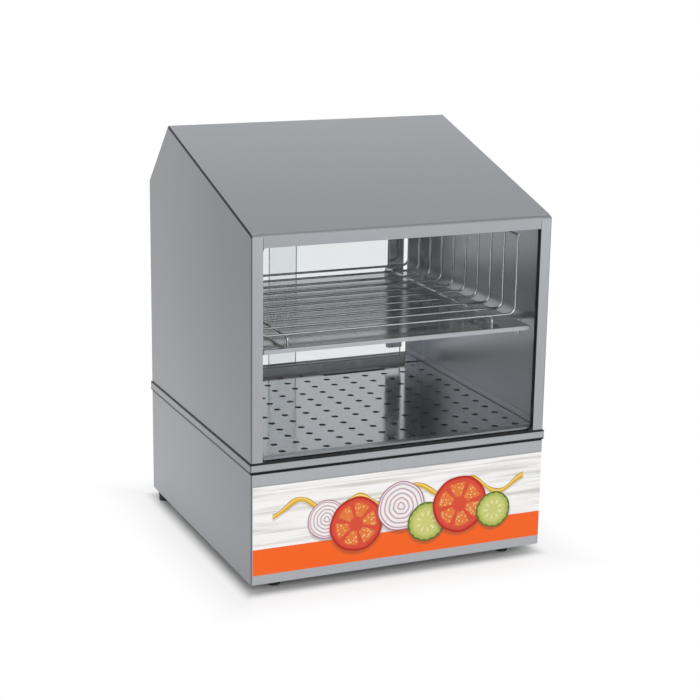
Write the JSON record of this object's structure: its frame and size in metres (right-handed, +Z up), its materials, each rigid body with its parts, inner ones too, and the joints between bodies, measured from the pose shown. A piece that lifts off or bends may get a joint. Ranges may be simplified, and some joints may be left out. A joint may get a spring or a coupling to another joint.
{
  "type": "hot dog steamer",
  "caption": "Counter hot dog steamer: heated water pan base, perforated tray, lift-off glass-front hood, bun shelf with wire rack, sliding glass rear doors.",
  "frame": {"origin": "centre of the footprint, on the counter that the feet stand on", "axes": "+Z up, -Y towards the customer's side with the front glass, +X to the right seen from the front"},
  "size_m": [0.383, 0.379, 0.5085],
  "materials": {
    "outer_steel": "satin brushed stainless sheet",
    "inner_steel": "bright annealed stainless sheet",
    "screw_steel": "plain stainless fastener",
    "rack_wire": "bright plated wire",
    "element_sheath": "oxidised sheath",
    "brass_fitting": "turned brass",
    "clear_glass": "clear float glass, faint green edge",
    "printed_panel": null,
    "rubber": "matt black rubber",
    "black_plastic": "fine textured black plastic",
    "red_plastic": "gloss red plastic",
    "white_plastic": "natural white nylon",
    "track_plastic": "dark extruded plastic",
    "amber_lens": "clear amber lens"
  },
  "bodies": {
    "base": {"base_shell": "outer_steel", "bottom_cover": "inner_steel", "bottom_cover_screws": "screw_steel", "foot_front_left": "rubber", "foot_front_right": "rubber", "foot_rear_left": "rubber", "foot_rear_right": "rubber", "foot_screws": "screw_steel", "foot_nuts": "screw_steel", "graphic_panel": "printed_panel", "water_pan": "outer_steel", "locating_pins": "screw_steel", "heating_element": "element_sheath", "element_bushings": "brass_fitting", "bushing_gaskets": "rubber", "bushing_nuts": "brass_fitting", "element_terminals": "screw_steel", "element_clips": "inner_steel", "rear_panel": "outer_steel", "rear_panel_screws": "screw_steel", "thermostat_body": "black_plastic", "thermostat_bulb": "brass_fitting", "bulb_clip": "inner_steel", "limit_thermostat": "black_plastic", "switch_housing": "black_plastic", "pilot_lamp_body": "black_plastic", "pilot_lamp_lens": "amber_lens", "cord_gland": "black_plastic", "gland_locknut": "black_plastic", "terminal_block": "white_plastic"},
    "hood": {"left_side_panel": "outer_steel", "right_side_panel": "outer_steel", "roof_panel": "outer_steel", "glass_gasket": "rubber", "front_glass": "clear_glass", "front_sill": "inner_steel", "left_glass_retainer": "inner_steel", "right_glass_retainer": "inner_steel", "left_rear_jamb": "inner_steel", "right_rear_jamb": "inner_steel", "rear_header": "inner_steel", "bottom_track": "track_plastic", "top_track": "track_plastic", "door_bumpers": "rubber", "bun_shelf": "inner_steel", "shelf_brackets": "inner_steel"},
    "left_door": {"left_door_glass": "clear_glass", "left_door_handle": "inner_steel", "left_door_glides": "white_plastic"},
    "right_door": {"right_door_glass": "clear_glass", "right_door_handle": "inner_steel", "right_door_glides": "white_plastic"},
    "tray": {"perforated_tray": "inner_steel"},
    "rack": {"bun_rack": "rack_wire"},
    "knob": {"thermostat_knob": "black_plastic", "thermostat_shaft": "screw_steel"},
    "rocker": {"power_rocker": "red_plastic"}
  },
  "joints": [
    {"name": "hood_lift", "type": "slide", "parent": "base", "child": "hood", "axis": [0, 0, 1], "range_m": [0, 0.15]},
    {"name": "left_door_slide", "type": "slide", "parent": "hood", "child": "left_door", "axis": [1, 0, 0], "range_m": [0, 0.1768]},
    {"name": "right_door_slide", "type": "slide", "parent": "hood", "child": "right_door", "axis": [1, 0, 0], "range_m": [-0.1518, 0.025]},
    {"name": "tray_lift", "type": "slide", "parent": "base", "child": "tray", "axis": [0, 0, 1], "range_m": [0, 0.06]},
    {"name": "rack_lift", "type": "slide", "parent": "hood", "child": "rack", "axis": [0, 0, 1], "range_m": [0, 0.02]},
    {"name": "knob_turn", "type": "hinge", "parent": "base", "child": "knob", "pos_m": [0.096, 0.176, 0.065], "axis": [0, -1, 0], "range_deg": [0, 270]},
    {"name": "rocker_tilt", "type": "hinge", "parent": "base", "child": "rocker", "pos_m": [0.028, 0.1699, 0.065], "axis": [1, 0, 0], "range_deg": [0, 20]}
  ]
}
